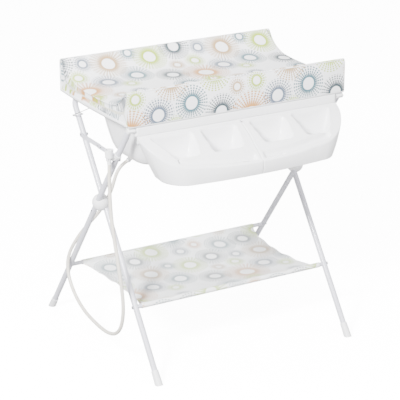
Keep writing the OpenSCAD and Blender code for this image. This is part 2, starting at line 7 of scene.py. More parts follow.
# %% Frame
import json
import math
import bpy
import numpy as np
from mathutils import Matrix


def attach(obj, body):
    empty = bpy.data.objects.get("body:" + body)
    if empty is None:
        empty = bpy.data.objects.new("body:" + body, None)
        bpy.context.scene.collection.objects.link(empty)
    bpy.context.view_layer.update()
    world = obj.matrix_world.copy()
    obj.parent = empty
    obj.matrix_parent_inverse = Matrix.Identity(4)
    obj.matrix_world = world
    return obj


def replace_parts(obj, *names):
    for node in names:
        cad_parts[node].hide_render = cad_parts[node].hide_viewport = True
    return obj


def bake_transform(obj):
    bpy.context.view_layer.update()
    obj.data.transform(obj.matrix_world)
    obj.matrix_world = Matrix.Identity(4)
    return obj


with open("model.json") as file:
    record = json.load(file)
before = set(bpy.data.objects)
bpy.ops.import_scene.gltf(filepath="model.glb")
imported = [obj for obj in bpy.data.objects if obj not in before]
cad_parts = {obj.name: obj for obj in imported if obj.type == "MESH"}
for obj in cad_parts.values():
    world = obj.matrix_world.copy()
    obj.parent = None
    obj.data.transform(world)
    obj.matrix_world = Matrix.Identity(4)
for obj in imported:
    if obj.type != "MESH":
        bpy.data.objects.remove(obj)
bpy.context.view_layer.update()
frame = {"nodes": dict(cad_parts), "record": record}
MM = 0.001

# %% [markdown]
# ## Camera
# A long lens from far away keeps upright lines almost parallel, as in a catalogue. A
# camera can be turned with a constraint or by angles; here its axes are worked out from the
# place it looks at, which never drifts when the object changes.

# %% Camera
from mathutils import Matrix, Vector

def look_from(place, target):
    """A matrix whose -Z points from place to target and whose Y stays as upright as it can."""
    back = (Vector(place) - Vector(target)).normalized()
    right = Vector((0, 0, 1)).cross(back).normalized()
    up = back.cross(right)
    m = Matrix((right, up, back)).transposed().to_4x4()
    m.translation = place
    return m

lens = bpy.data.cameras.new("camera")
lens.lens, lens.sensor_width = 148.1, 36
lens.shift_x, lens.shift_y = -0.0055, -0.042
lens.clip_end = 60
camera = bpy.data.objects.new("camera", lens)
bpy.context.collection.objects.link(camera)
camera.matrix_world = look_from((-2.586, -4.444, 2.320), (0, -0.008, 0.5))
bpy.context.scene.camera = camera
print("camera at", tuple(round(v, 3) for v in camera.location))

# %% [markdown]
# ## Small tools for meshes
# Every surface below is a grid of points worked out in one go with arrays. A grid is rows of
# points; rows and columns can close on themselves, like a tube.

# %% Mesh tools
def mesh_object(name, points, faces, smooth=True):
    """One mesh object from an array of points and an array, or list, of faces."""
    mesh = bpy.data.meshes.new(name)
    mesh.from_pydata(np.asarray(points, float).tolist(), [],
                     faces if isinstance(faces, list) else np.asarray(faces).tolist())
    mesh.validate()
    if smooth:
        mesh.polygons.foreach_set("use_smooth", np.ones(len(mesh.polygons), bool))
    obj = bpy.data.objects.new(name, mesh)
    bpy.context.collection.objects.link(obj)
    print(name, len(mesh.vertices), "points", len(mesh.polygons), "faces")
    return obj

def grid_faces(rows, cols, close_cols=False):
    """Quads of a grid whose point i, j is number i * cols + j."""
    i, j = np.meshgrid(np.arange(rows - 1), np.arange(cols if close_cols else cols - 1),
                       indexing="ij")
    k = (j + 1) % cols
    return np.stack([i * cols + j, i * cols + k, (i + 1) * cols + k, (i + 1) * cols + j],
                    axis=-1).reshape(-1, 4)

def spline(points, n):
    """A smooth line through points: Catmull-Rom, so it passes through every one of them."""
    p = np.asarray(points, float)
    p = np.vstack([2 * p[0] - p[1], p, 2 * p[-1] - p[-2]])
    s = np.linspace(0, len(p) - 3 - 1e-9, n)
    i = s.astype(int)
    t = (s - i)[:, None]
    a, b, c, d = p[i], p[i + 1], p[i + 2], p[i + 3]
    return 0.5 * (2 * b + (c - a) * t + (2 * a - 5 * b + 4 * c - d) * t ** 2
                  + (3 * b - a - 3 * c + d) * t ** 3)

def even(line, n):
    """The same line with n points at equal distances along it."""
    run = np.r_[0, np.cumsum(np.linalg.norm(np.diff(line, axis=0), axis=1))]
    at = np.linspace(0, run[-1], n)
    return np.stack([np.interp(at, run, line[:, k]) for k in range(line.shape[1])], axis=1)

def ease(t):
    """0 before 0, 1 after 1, and a smooth step between."""
    t = np.clip(t, 0, 1)
    return t * t * (3 - 2 * t)

def apply_all(obj):
    """Turns obj's modifiers into plain mesh, so what is seen is what is stored."""
    view = bpy.context.evaluated_depsgraph_get()
    mesh = bpy.data.meshes.new_from_object(obj.evaluated_get(view))
    obj.modifiers.clear()
    obj.data = mesh
    return obj

def wall(obj, thickness, offset=-1):
    """Gives obj a wall in mm, inside its surface at offset -1 and half each way at 0."""
    solid = obj.modifiers.new("wall", "SOLIDIFY")
    solid.thickness, solid.offset = thickness * MM, offset
    return apply_all(obj)

def corner_points(obj):
    """For each corner of each face, the number of its point."""
    numbers = np.empty(len(obj.data.loops), int)
    obj.data.loops.foreach_get("vertex_index", numbers)
    return numbers

# %% [markdown]
# ## Small tools for materials
# Shader formulas are easier to read as sums than as boxes and wires. `Val` wraps a socket so
# that `+ - * /` each make a Math node. The same thing could be done in the node editor.

# %% Material tools
class Val:
    """A number inside a shader. Arithmetic on it adds Math nodes."""
    def __init__(self, tree, socket):
        self.tree, self.socket = tree, socket

    def op(self, kind, *others):
        """A Math node of this kind, fed with self and the others."""
        node = self.tree.nodes.new("ShaderNodeMath")
        node.operation = kind
        for slot_in, v in zip(node.inputs, (self,) + others):
            if isinstance(v, Val):
                self.tree.links.new(v.socket, slot_in)
            else:
                slot_in.default_value = v
        return Val(self.tree, node.outputs[0])

    def __add__(self, o): return self.op("ADD", o)
    def __sub__(self, o): return self.op("SUBTRACT", o)
    def __mul__(self, o): return self.op("MULTIPLY", o)
    def __truediv__(self, o): return self.op("DIVIDE", o)
    def __radd__(self, o): return self.op("ADD", o)
    def __rmul__(self, o): return self.op("MULTIPLY", o)
    def __rsub__(self, o): return (self * -1.0) + o
    def step(self, low, high):
        """0 below low, 1 above high, smooth between; low above high turns it round."""
        node = self.tree.nodes.new("ShaderNodeMapRange")
        node.interpolation_type = "SMOOTHSTEP"
        flip = low > high
        self.tree.links.new(self.socket, node.inputs["Value"])
        node.inputs["From Min"].default_value = min(low, high)
        node.inputs["From Max"].default_value = max(low, high)
        node.inputs["To Min"].default_value = 1.0 if flip else 0.0
        node.inputs["To Max"].default_value = 0.0 if flip else 1.0
        return Val(self.tree, node.outputs["Result"])

class Shader:
    """One material, started with a Principled BSDF."""
    def __init__(self, name, color, roughness, **sockets):
        self.mat = bpy.data.materials.new(name)
        self.mat.use_nodes = True
        self.tree = self.mat.node_tree
        self.out = self.tree.nodes["Principled BSDF"]
        self.set("Base Color", (*color, 1.0))
        self.set("Roughness", roughness)
        for key, value in sockets.items():
            self.set(key.replace("_", " "), value)
        self.mat.diffuse_color = (*color, 1.0)

    def set(self, name, value):
        self.out.inputs[name].default_value = value

    def node(self, kind, inputs=(), **settings):
        """Any other node: its settings first, then the values or links of its sockets."""
        n = self.tree.nodes.new(kind)
        for key, value in settings.items():
            setattr(n, key, value)
        for key, value in dict(inputs).items():
            if isinstance(value, Val):
                self.tree.links.new(value.socket, n.inputs[key])
            elif hasattr(value, "is_output"):
                self.tree.links.new(value, n.inputs[key])
            else:
                n.inputs[key].default_value = value
        return n

    def place(self, stretch=(1, 1, 1)):
        """Object coordinates in metres, stretched."""
        c = self.node("ShaderNodeTexCoord").outputs["Object"]
        return self.node("ShaderNodeVectorMath", {0: c, 1: stretch}, operation="MULTIPLY").outputs[0]

    def noise(self, scale, detail=2.0, stretch=(1, 1, 1)):
        """Soft random clouds from 0 to 1, scale of them to a metre."""
        n = self.node("ShaderNodeTexNoise", {"Vector": self.place(stretch), "Scale": scale,
                                             "Detail": detail})
        return Val(self.tree, n.outputs[0])

    def link(self, value, name):
        self.tree.links.new(value.socket if isinstance(value, Val) else value,
                            self.out.inputs[name])

    def mix(self, share, a, b):
        """Colour a where share is 0, b where it is 1."""
        n = self.node("ShaderNodeMix", data_type="RGBA")
        for key, value in ((0, share), (6, a), (7, b)):
            if isinstance(value, Val):
                self.tree.links.new(value.socket, n.inputs[key])
            elif hasattr(value, "is_output"):
                self.tree.links.new(value, n.inputs[key])
            else:
                n.inputs[key].default_value = value if key == 0 else (*value, 1.0)
        return n.outputs[2]

    def bump(self, height, strength, distance):
        """Makes height look like relief, distance metres deep."""
        n = self.node("ShaderNodeBump", {"Height": height, "Strength": strength,
                                         "Distance": distance})
        self.link(n.outputs[0], "Normal")

def give(obj, shader):
    """Puts one material on obj."""
    obj.data.materials.clear()
    obj.data.materials.append(shader.mat)

# %% [markdown]
# ## Plain finishes
# Real paint and plastic are never one flat colour: a little noise in the colour, the
# roughness and the surface is enough for the eye. Each finish uses the part's own Object
# coordinates, so nothing slides when a joint moves.

# %% Plain finishes
def finish_of(name, color, rough, grain, depth, shade=0.05, **sockets):
    """A finish whose colour, roughness and surface vary a little, grain times per metre."""
    s = Shader(name, color, rough, **sockets)
    cloud = s.noise(grain * 0.15)
    fine = s.noise(grain)
    darker = tuple(c * (1 - shade) for c in color)
    s.link(s.mix(cloud.step(0.3, 0.7), darker, color), "Base Color")
    s.link(rough - 0.05 + 0.1 * fine, "Roughness")
    s.bump(fine, 0.25, depth)
    return s

paint = finish_of("white_paint", (0.58, 0.58, 0.645), 0.32, 420, 0.00012, Coat_Weight=0.25,
                  Coat_Roughness=0.12)
plastic = finish_of("white_plastic", (0.80, 0.80, 0.815), 0.34, 700, 0.00008)
tub_plastic = finish_of("tub_plastic", (0.85, 0.85, 0.865), 0.24, 900, 0.00005, shade=0.015,
                        Coat_Weight=0.15, Coat_Roughness=0.1)
steel = finish_of("steel", (0.60, 0.60, 0.62), 0.36, 900, 0.00004, Metallic=0.9)
rivet = finish_of("dark_rivet", (0.07, 0.07, 0.08), 0.4, 900, 0.00005, Metallic=0.5)
rubber = finish_of("rubber", (0.16, 0.16, 0.17), 0.7, 1200, 0.00008)
board = finish_of("board", (0.70, 0.62, 0.50), 0.75, 300, 0.0002, shade=0.2)
hose_skin = finish_of("hose_plastic", (0.66, 0.62, 0.55), 0.33, 500, 0.00006, Coat_Weight=0.2)

by_slot = {"white_paint": paint, "white_plastic": plastic, "tub_plastic": tub_plastic,
           "steel": steel, "dark_rivet": rivet, "rubber": rubber, "board": board,
           "hose_plastic": hose_skin, "print_fabric": plastic}
for part in frame["record"]["subparts"]:
    node = frame["nodes"][part["node"]]
    node.data.materials.clear()
    node.data.materials.append(by_slot[part["material_slot"]].mat)
print("finished", len(frame["nodes"]), "CAD nodes")

# %% [markdown]
# ## Drain hose
# A hose could be simulated as a heavy string, but its course is known, so a smooth line
# through a few chosen points with a round section is simpler and exact. It leaves the drain
# under the tub, sags to a loop near the floor and climbs to the clip on the front leg.

# %% Drain hose
HOSE = [(-272, 4, 621), (-284, 5, 614), (-295, 7, 604), (-304, 9, 591), (-311, 11, 575),
        (-317, 13, 555), (-323, 19, 528), (-328, 33, 500), (-334, 54, 466), (-342, 82, 430),
        (-354, 114, 392), (-370, 144, 352), (-386, 166, 312), (-399, 182, 272),
        (-407, 186, 234), (-411, 174, 196), (-412, 148, 160), (-412, 106, 128),
        (-412, 52, 106), (-412, -8, 96), (-412, -66, 92), (-412, -118, 96),
        (-412, -164, 112), (-412, -198, 142), (-412, -217, 184), (-412, -222, 232),
        (-412, -214, 284), (-412, -200, 336), (-412, -184, 390), (-412, -166, 446),
        (-412, -152, 506), (-412, -145, 570), (-412, -144, 630), (-412, -145, 677)]
line = even(spline(HOSE, 1500), 260) * MM
curve = bpy.data.curves.new("hose", "CURVE")
curve.dimensions = "3D"
curve.bevel_depth, curve.bevel_resolution, curve.use_fill_caps = 6 * MM, 5, True
strand = curve.splines.new("POLY")
strand.points.add(len(line) - 1)
strand.points.foreach_set("co", np.c_[line, np.ones(len(line))].ravel())
strand.use_smooth = True
hose = bpy.data.objects.new("hose", curve)
bpy.context.collection.objects.link(hose)
give(hose, hose_skin)
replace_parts(hose, "drain_hose")
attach(hose, "tub_set")

# %% [markdown]
# ## Printed cloth
# The print is made of bursts: a white disc, a dense ring of colour, and rays that break into
# dashes and dots. Each burst is a formula in its distance and angle from its centre. Drawing
# it this way needs no image and stays sharp at any size. The pattern repeats every 430 mm.

# %% Printed cloth
TILE = 0.43
SLATE, TEAL, ORANGE = (0.012, 0.032, 0.042), (0.04, 0.11, 0.14), (0.46, 0.21, 0.045)
LIME, GREY, TAUPE = (0.30, 0.42, 0.01), (0.07, 0.10, 0.15), (0.36, 0.23, 0.10)
# x, y, radius, disc's share of the radius, rays, dashes along a ray, colour: millimetres
BURSTS = [(62, 56, 60, 0.31, 32, 5.5, SLATE), (172, 30, 82, 0.29, 34, 7.5, ORANGE),
          (268, 78, 56, 0.34, 30, 4.5, GREY), (330, 36, 34, 0.33, 22, 2.5, LIME),
          (384, 100, 58, 0.34, 30, 5.0, TEAL), (118, 128, 30, 0.36, 20, 2.5, TAUPE),
          (190, 138, 36, 0.36, 22, 2.5, LIME), (40, 186, 62, 0.33, 30, 6.0, LIME),
          (140, 214, 58, 0.31, 30, 5.0, SLATE), (228, 196, 34, 0.36, 22, 2.5, GREY),
          (316, 182, 66, 0.33, 32, 6.5, TAUPE), (398, 214, 32, 0.34, 20, 2.5, TEAL),
          (60, 290, 36, 0.36, 22, 2.5, GREY), (214, 282, 58, 0.34, 30, 5.0, TEAL),
          (128, 316, 30, 0.36, 20, 2.5, ORANGE), (310, 286, 56, 0.31, 30, 5.0, SLATE),
          (392, 322, 62, 0.34, 30, 6.0, LIME), (64, 376, 56, 0.34, 30, 5.0, TEAL),
          (160, 388, 40, 0.36, 24, 3.0, LIME), (246, 370, 34, 0.36, 22, 2.5, TAUPE),
          (318, 384, 34, 0.36, 22, 2.5, GREY)]

def print_cloth(name, fade, base):
    """White coated cloth with the bursts; fade is how pale the inks are, from 0 to 1."""
    s = Shader(name, base, 0.42, Coat_Weight=0.12, Coat_Roughness=0.25)
    uv = s.node("ShaderNodeUVMap", uv_map="print").outputs[0]
    parts = s.node("ShaderNodeSeparateXYZ", {0: uv})
    u, v = Val(s.tree, parts.outputs[0]), Val(s.tree, parts.outputs[1])
    color = base
    for x, y, radius, disc, rays, dashes, ink in BURSTS:
        du = (u - x * MM + TILE / 2).op("FLOORED_MODULO", TILE) - TILE / 2
        dv = (v - y * MM + TILE / 2).op("FLOORED_MODULO", TILE) - TILE / 2
        r = (du * du + dv * dv).op("SQRT") / (radius * MM)
        turn = dv.op("ARCTAN2", du) * (rays / (2 * math.pi))
        across = (turn.op("FRACT") - 0.5).op("ABSOLUTE")
        out = (r - disc) / (1 - disc)
        ray = (across + out * 0.12).step(0.40, 0.33)
        dash = ((out * dashes).op("FRACT") - 0.5).op("ABSOLUTE")
        gaps = (dash - 0.43 + out * 0.18).step(0.06, 0.0)
        dense = out.step(0.44, 0.06)
        ink_share = dense.op("MAXIMUM", ray * gaps.op("MAXIMUM", out.step(0.5, 0.3)))
        ink_share = ink_share * out.step(0.0, 0.05) * out.step(1.0, 0.97)
        ink_share = ink_share * (1.0 - fade)
        color = s.mix(ink_share, color, ink)
    s.link(color, "Base Color")
    weave = s.noise(1400, 1.0)
    crease = s.noise(9, 3.0, (0.6, 1.0, 1.0))
    s.bump(crease * 0.9 + weave * 0.1, 0.35, 0.0014)
    s.link(0.38 + 0.1 * weave, "Roughness")
    return s

mat_print = print_cloth("mat_print", 0.0, (0.81, 0.81, 0.825))
shelf_print = print_cloth("shelf_print", 0.25, (0.85, 0.86, 0.865))
print("print", len(BURSTS), "bursts")

# %% [markdown]
# ## The mat's shape
# The mat is a foam body with raised sides, upholstered in the printed cloth. Its section is
# drawn once and swept along the table, with the section's own inside as the two end faces.
# Sweeping keeps the grid even, which the cloth simulation below needs.

# %% The mat's shape
PAD_TOP = [(-243, 912), (-241.5, 922), (-236, 927.5), (-230, 927), (-222, 917), (-206, 900),
           (-184, 884), (-158, 871), (-130, 863.5), (-90, 860.5), (-40, 859), (24, 859),
           (74, 860.5), (114, 864), (142, 871.5), (168, 884), (190, 900), (206, 917),
           (214, 927), (220, 927.5), (225.5, 922), (227, 912)]
PAD_LOW, PAD_HALF, PAD_ROUND = 817.3, 399, 7
MAT_FRONT, MAT_REAR, LEAF_ROOM = -243, 227, 6.2

def section(across, through):
    """Points y, z of the mat's section: 'across' points from front to back, along the top and along
    the underside; 'through' is not used. Between the ridges each lower point lies straight below
    an upper one, and at the rear the underside rises by LEAF_ROOM over the hinge leaves."""
    top = even(spline(PAD_TOP, 600), across - 2 * 16)
    sides = [np.c_[np.full(16, y), np.linspace(z, 912, 17)[:16]]
             for y, z in ((MAT_FRONT, PAD_LOW), (MAT_REAR, PAD_LOW + LEAF_ROOM))]
    top = np.vstack([sides[0], top, sides[1][::-1]])
    between = np.flatnonzero((top[:, 1] > -221) & (top[:, 1] < 205))
    y = np.interp(np.arange(len(top)), np.r_[0, between, len(top) - 1],
                  np.r_[MAT_FRONT, top[between, 1], MAT_REAR])
    low = np.c_[y, PAD_LOW + LEAF_ROOM * ease((y - 190) / 14)]
    return top, low

def mat_body(across, along, through):
    """A closed body: the outline swept along x, rounded towards each end, and a grid inside
    the outline at each end. The outline is pulled in by r (1 - cos a) where x is r (1 - sin a)
    from the end, which is a quarter circle."""
    top, low = section(across, through)
    loop = np.vstack([top, low[-2:0:-1]])
    n = len(loop)
    ahead = np.roll(loop, -1, 0) - np.roll(loop, 1, 0)
    inward = np.c_[ahead[:, 1], -ahead[:, 0]]
    inward /= np.linalg.norm(inward, axis=1)[:, None]
    a = np.linspace(0, math.pi / 2, 5)[:-1]
    body_x = np.linspace(-PAD_HALF + PAD_ROUND, PAD_HALF - PAD_ROUND, along)
    xs = np.r_[-PAD_HALF + PAD_ROUND * (1 - np.cos(math.pi / 2 - a)), body_x,
               PAD_HALF - PAD_ROUND * (1 - np.cos(math.pi / 2 - a[::-1]))]
    pull = np.r_[PAD_ROUND * (1 - np.sin(a)), np.zeros(along), PAD_ROUND * (1 - np.sin(a[::-1]))]
    rows = np.zeros((len(xs), n, 3))
    rows[:, :, 0] = xs[:, None]
    rows[:, :, 1:] = loop[None] + inward[None] * pull[:, None, None]
    skin = grid_faces(len(xs), n, close_cols=True)
    points, faces = [rows.reshape(-1, 3)], [skin]
    for end, row in ((0, rows[0]), (1, rows[-1])):
        upper = row[:len(top)]
        lower = np.vstack([row[:1], row[:len(top) - 1:-1], row[len(top) - 1:len(top)]])
        share = np.linspace(0, 1, through)[:, None, None]
        cap = lower[None] * (1 - share) + upper[None] * share
        f = grid_faces(through, len(top)) + sum(len(p) for p in points)
        points.append(cap.reshape(-1, 3))
        faces.append(f if end else f[:, ::-1])
    return np.vstack(points) * MM, np.vstack(faces), loop * MM

def weld(obj, gap=2e-5):
    """Joins points that lie on one another and turns every face outward."""
    import bmesh
    bm = bmesh.new()
    bm.from_mesh(obj.data)
    bmesh.ops.remove_doubles(bm, verts=bm.verts, dist=gap)
    bmesh.ops.recalc_face_normals(bm, faces=bm.faces)
    bm.to_mesh(obj.data)
    bm.free()
    obj.data.polygons.foreach_set("use_smooth", np.ones(len(obj.data.polygons), bool))

pad_points, pad_faces, pad_loop = mat_body(108, 82, 12)
mat = mesh_object("mat_cover", pad_points, pad_faces)
weld(mat)

# %% [markdown]
# ## Puffing the cover up
# A cloth simulation lets the panels between the seams swell a little, as foam does under a
# tight cover. The seams are pinned. The swelling is then limited, so the cover keeps its
# size. Sculpting could give the same look, but a simulation is even all over.

# %% Puffing the cover up
def coords(obj):
    """The places of obj's points, one row each, in metres."""
    co = np.empty(len(obj.data.vertices) * 3)
    obj.data.vertices.foreach_get("co", co)
    return co.reshape(-1, 3)

def puff(obj, pins, pressure, most, frames=20):
    """Inflates obj for some frames with gravity off, then keeps at most 'most' metres of it."""
    before = coords(obj)
    group = obj.vertex_groups.new(name="pins")
    group.add([int(i) for i in np.flatnonzero(pins)], 1.0, "REPLACE")
    cloth = obj.modifiers.new("cloth", "CLOTH")
    c = cloth.settings
    c.quality, c.mass = 5, 0.3
    c.tension_stiffness = c.compression_stiffness = c.shear_stiffness = 12
    c.bending_stiffness = 0.6
    c.vertex_group_mass = "pins"
    c.use_pressure, c.uniform_pressure_force = True, pressure
    c.effector_weights.gravity = 0
    cloth.point_cache.frame_start, cloth.point_cache.frame_end = 1, frames
    scene = bpy.context.scene
    for f in range(1, frames + 1):
        scene.frame_set(f)
        bpy.context.view_layer.update()
    apply_all(obj)
    scene.frame_set(1)
    obj.vertex_groups.clear()
    move = coords(obj) - before
    size = np.linalg.norm(move, axis=1, keepdims=True)
    move *= most * np.tanh(size / most) / np.maximum(size, 1e-9)
    obj.data.vertices.foreach_set("co", (before + move).ravel())
    obj.data.update()
    print(obj.name, "swelled", round(float(size.max()) * 1000, 1), "mm, kept",
          round(float(np.linalg.norm(move, axis=1).max()) * 1000, 1))

at = coords(mat) / MM
near_end = PAD_HALF - np.abs(at[:, 0]) < 3
outer = (at[:, 1] < MAT_FRONT + 2) | (at[:, 1] > MAT_REAR - 2)
top_edge = (at[:, 2] > 920)
pins = (at[:, 2] < PAD_LOW + 7) | (outer & near_end) | top_edge
puff(mat, pins, 3.0, 0.0045)

# %% [markdown]
# ## Where the print lies on the mat
# The print follows the cloth: along the table it is the x position, and across it is the
# distance measured over the surface, so the bursts bend over the raised sides. The end
# faces are cut from their own piece of cloth, so their print is laid out flat.

# %% Where the print lies on the mat
def cloth_uv(obj, profile, shift=(0, 0)):
    """Writes the UV map 'print': x and the distance over the profile, or y and z on ends."""
    mesh = obj.data
    co = coords(obj)
    run = np.r_[0, np.cumsum(np.linalg.norm(np.diff(profile, axis=0), axis=1))]
    over = np.empty(len(co))
    for k in range(0, len(co), 4000):
        d = np.linalg.norm(co[k:k + 4000, None, 1:] - profile[None], axis=2)
        over[k:k + 4000] = run[d.argmin(1)]
    sizes = np.empty(len(mesh.polygons), int)
    mesh.polygons.foreach_get("loop_total", sizes)
    centre = np.empty(len(mesh.polygons) * 3)
    mesh.polygons.foreach_get("center", centre)
    on_end = np.repeat(np.abs(centre.reshape(-1, 3)[:, 0]) > (PAD_HALF - 2.2) * MM, sizes)
    verts = corner_points(obj)
    p = co[verts]
    uv = np.where(on_end[:, None], np.c_[p[:, 1] * np.sign(p[:, 0]) + 0.1, p[:, 2] + 0.02],
                  np.c_[p[:, 0], over[verts]])
    layer = mesh.uv_layers.new(name="print")
    layer.data.foreach_set("uv", (uv + shift).ravel())

pad_fine = even(np.vstack([pad_loop, pad_loop[:1]]), 1600)
cloth_uv(mat, pad_fine, (0.13, 0.052))
mat.modifiers.new("round", "SUBSURF").levels = 1
mat.modifiers["round"].render_levels = 1
apply_all(mat)
give(mat, mat_print)
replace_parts(mat, "mat_pad")
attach(mat, "mat")

# %% [markdown]
# ## Seams and hem
# A welded seam runs along each raised side's top, and a plain hem hides the board at the
# ends. Both are thin tubes or strips along lines taken from the mat.

# %% Seams and hem
def tube_mesh(name, line, radius, sides=8, flat=1.0):
    """A closed tube along a line: rings set square to it, with a point at each end."""
    line = np.asarray(line, float)
    ahead = np.gradient(line, axis=0)
    ahead /= np.linalg.norm(ahead, axis=1)[:, None]
    ref = np.where(np.abs(ahead[:, 2:]) > 0.9, [[1.0, 0, 0]], [[0, 0, 1.0]])
    side = np.cross(ahead, ref)
    side /= np.linalg.norm(side, axis=1)[:, None]
    up = np.cross(side, ahead)
    a = np.linspace(0, 2 * math.pi, sides, endpoint=False)
    rings = line[:, None] + radius * (np.cos(a)[None, :, None] * side[:, None]
                                      + flat * np.sin(a)[None, :, None] * up[:, None])
    n = len(line)
    points = np.vstack([rings.reshape(-1, 3), line[:1], line[-1:]])
    k = np.arange(sides)
    start = np.c_[np.full(sides, n * sides), (k + 1) % sides, k].tolist()
    last = (n - 1) * sides
    stop = np.c_[np.full(sides, n * sides + 1), last + k, last + (k + 1) % sides].tolist()
    obj = mesh_object(name, points, grid_faces(n, sides, True).tolist() + start + stop)
    weld(obj, 1e-7)
    return obj

for name, y in (("front", -240.2), ("rear", 224.2)):
    long_run = [(-394, y, 924.6), (394, y, 924.6)]
    seam = tube_mesh("mat_seam_" + name, even(np.array(long_run, float), 90) * MM, 1.3 * MM)
    give(seam, plastic)
    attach(seam, "mat")

def hem_strip(side):
    """A strip under one end of the mat that bows down in the middle, 1.4 mm thick."""
    y = np.linspace(MAT_FRONT + 2, MAT_REAR - 2, 60)
    drop = 5.0 + 7.0 * np.sin(np.linspace(0, math.pi, 60)) ** 0.8
    x = side * (PAD_HALF - 1.6)
    rows = np.stack([np.c_[np.full(60, x), y, np.full(60, 826.0)],
                     np.c_[np.full(60, x), y, 824.0 - drop * 0.5],
                     np.c_[np.full(60, x - side * 1.5), y, 824.0 - drop]])
    obj = mesh_object("mat_hem_" + ("right" if side > 0 else "left"),
                      rows.reshape(-1, 3) * MM, grid_faces(3, 60))
    wall(obj, 1.4, 0)
    weld(obj, 1e-7)
    give(obj, plastic)
    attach(obj, "mat")

hem_strip(-1)
hem_strip(1)

# The cover's lower edge in front and at the back, 6 mm high, which hides the board there.
across = np.linspace(-PAD_HALF + 4, PAD_HALF - 4, 120)
for name, y, low in (("front", MAT_FRONT + 1.4, 815.2), ("rear", MAT_REAR - 1.4, 821.2)):
    rows = np.stack([np.c_[across, np.full(120, y), np.full(120, low + up)] for up in (0, 3, 6)])
    band = mesh_object("mat_edge_" + name, rows.reshape(-1, 3) * MM, grid_faces(3, 120))
    wall(band, 1.6, 0)
    weld(band, 1e-7)
    give(band, plastic)
    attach(band, "mat")

# %% [markdown]
# ## Fabric shelf
# The shelf is one cloth sewn into a sleeve round each bar. Its free sides are pulled in, and
# folds run in from the four corners where the pull is strongest.

# %% Fabric shelf
FRONT_BAR, REAR_BAR = np.array([-207.2, 209.0]), np.array([216.5, 209.0])
SLEEVE, SAG, SHELF_HALF, WAIST = 8.4, 19.0, 339, 30

def round_bar(bar, start, stop):
    """Points y, z on the sleeve round a bar, from one angle to another in degrees."""
    a = np.radians(np.linspace(start, stop, 30))
    return bar + SLEEVE * np.c_[np.cos(a), np.sin(a)]

def shelf_profile():
    """The shelf's line from front to back, y and z: round one bar, down a sag, round the other.
    The sag is a parabola: 4 times its depth times t (1 - t), t from 0 to 1."""
    front, rear = round_bar(FRONT_BAR, -50, -395), round_bar(REAR_BAR, 215, -130)
    t = np.linspace(0, 1, 70)[1:-1]
    sag = front[-1] + (rear[0] - front[-1]) * t[:, None]
    sag[:, 1] -= 4 * SAG * t * (1 - t)
    return np.vstack([front, sag, rear])

profile = even(shelf_profile(), 130)
along = np.r_[0, np.cumsum(np.linalg.norm(np.diff(profile, axis=0), axis=1))]
share = np.clip((profile[:, 0] - FRONT_BAR[0] - 9) / (REAR_BAR[0] - FRONT_BAR[0] - 18), 0, 1)
middle = 4 * share * (1 - share)
half = SHELF_HALF - WAIST * middle ** 0.75
u = np.linspace(-1, 1, 150)
X = u[None] * half[:, None]
Y = np.repeat(profile[:, :1], len(u), 1)
Z = np.repeat(profile[:, 1:], len(u), 1)
loose = middle[:, None]
edge = np.exp(-(1 - np.abs(u))[None] * 7)
Z = Z + loose * (1.6 * np.sin(X * 0.055 + Y * 0.021) * np.sin(Y * 0.019 + 1.1)
                 + 2.2 * edge * np.sin(Y * 0.075 + X * 0.02)
                 + 9.0 * edge * (0.35 + 0.65 * loose))
shelf_points = np.stack([X, Y, Z], -1).reshape(-1, 3) * MM
shelf = mesh_object("shelf", shelf_points, grid_faces(len(profile), len(u))[:, ::-1])
uv_layer = shelf.data.uv_layers.new(name="print")
flat_uv = np.stack([X, np.repeat(along[:, None], len(u), 1)], -1).reshape(-1, 2) * MM
uv_layer.data.foreach_set("uv", (flat_uv[corner_points(shelf)] + (0.05, 0.31)).ravel())
wall(shelf, 0.9, 0)
give(shelf, shelf_print)
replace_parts(shelf, "shelf_cloth")
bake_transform(shelf)
for side, name in ((0, "left"), (-1, "right")):
    rows = np.stack([X, Y, Z], -1)[32:-32, side]
    hem = tube_mesh("shelf_hem_" + name, rows * MM, 1.7 * MM)
    give(hem, plastic)
    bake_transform(hem)

# %% [markdown]
# ## Bath tub
# A moulded tub is a stack of outlines: from the band's lower edge, over a rounded rim, down
# the sloping wall and in to the floor. Each outline is a rectangle with round corners and
# the same number of points, so neighbouring outlines join up. Box modelling with bevels
# would do too, but the big rear corners come out smoother this way.

# %% Bath tub
RIM_TOP, TUB_FLOOR = 813.8, 654.0
RIM_HALF, RIM_FRONT, RIM_REAR, SADDLE_X = 369.5, -240.5, 207.5, 300

def rounded(x_half, y_front, y_rear, r_front, r_rear):
    """Points x, y of a rectangle with round corners, anticlockwise from the front's middle.
    Each corner takes 40 points and each side 30 (60 for the front and the back)."""
    def corner(cx, cy, r, start):
        """A quarter circle round cx, cy from the angle start, in degrees."""
        a = np.radians(np.linspace(start, start + 90, 40))
        return np.c_[cx + r * np.cos(a), cy + r * np.sin(a)]
    c = [corner(x_half - r_front, y_front + r_front, r_front, -90),
         corner(x_half - r_rear, y_rear - r_rear, r_rear, 0),
         corner(-x_half + r_rear, y_rear - r_rear, r_rear, 90),
         corner(-x_half + r_front, y_front + r_front, r_front, 180)]
    out = []
    for k in range(4):
        a, b = c[k][-1], c[(k + 1) % 4][0]
        n = 30 if k % 2 == 0 else 60
        out += [c[k], a + (b - a) * np.linspace(0, 1, n + 2)[1:-1, None]]
    return np.vstack(out)

